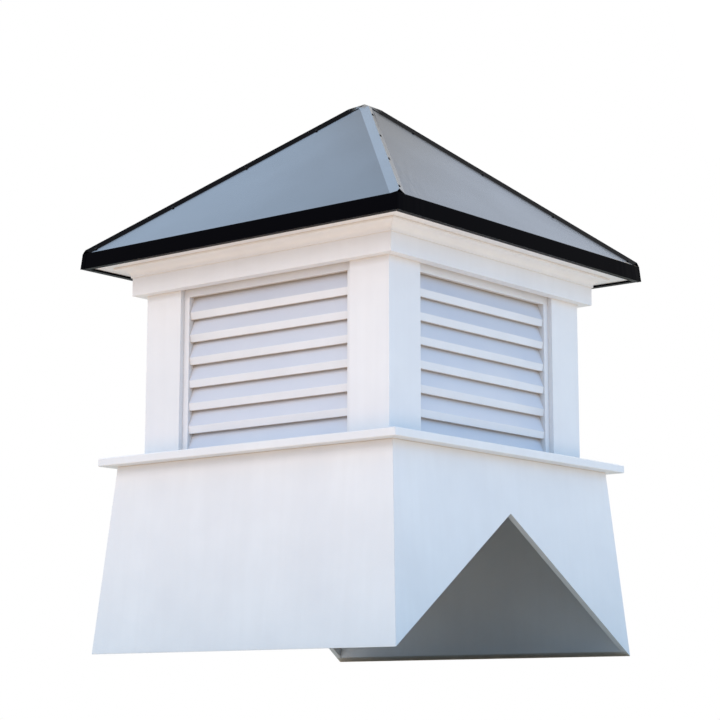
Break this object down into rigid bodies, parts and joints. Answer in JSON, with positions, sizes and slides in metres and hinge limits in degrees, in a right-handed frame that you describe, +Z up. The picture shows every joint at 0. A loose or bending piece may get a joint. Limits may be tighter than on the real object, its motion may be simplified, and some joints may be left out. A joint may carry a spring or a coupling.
{
  "type": "roof cupola",
  "caption": "Square louvered roof cupola: flared base notched to straddle a ridge, ledge, corner posts, louvered sides, frieze, cove crown and hipped sheet-metal roof with hip caps.",
  "frame": {"origin": "under the centre of the cupola, level with the lowest edges of its base", "axes": "+Z up; the building's ridge runs along X through the notches of the left and right boards; -Y is the front, down the roof slope"},
  "size_m": [0.745, 0.745, 1.0356],
  "materials": {
    "trim_board": "satin white",
    "louver": "satin white",
    "roof_sheet": "gloss black",
    "hip_cap": "satin black"
  },
  "bodies": {
    "root": {"base_panel_front": "trim_board", "base_panel_back": "trim_board", "base_panel_right": "trim_board", "base_panel_left": "trim_board", "ledge_front": "trim_board", "ledge_back": "trim_board", "ledge_right": "trim_board", "ledge_left": "trim_board", "post_front_right": "trim_board", "post_back_right": "trim_board", "post_back_left": "trim_board", "post_front_left": "trim_board", "louver_frame_front": "louver", "louver_frame_back": "louver", "louver_frame_right": "louver", "louver_frame_left": "louver", "louver_blades_front": "louver", "louver_blades_back": "louver", "louver_blades_right": "louver", "louver_blades_left": "louver", "frieze_front": "trim_board", "frieze_back": "trim_board", "frieze_right": "trim_board", "frieze_left": "trim_board", "crown_front": "trim_board", "crown_back": "trim_board", "crown_right": "trim_board", "crown_left": "trim_board", "soffit_front": "trim_board", "soffit_back": "trim_board", "soffit_right": "trim_board", "soffit_left": "trim_board", "roof_panel_front": "roof_sheet", "roof_panel_back": "roof_sheet", "roof_panel_right": "roof_sheet", "roof_panel_left": "roof_sheet", "hip_cap_front_left": "hip_cap", "hip_cap_front_right": "hip_cap", "hip_cap_back_right": "hip_cap", "hip_cap_back_left": "hip_cap"}
  },
  "joints": []
}
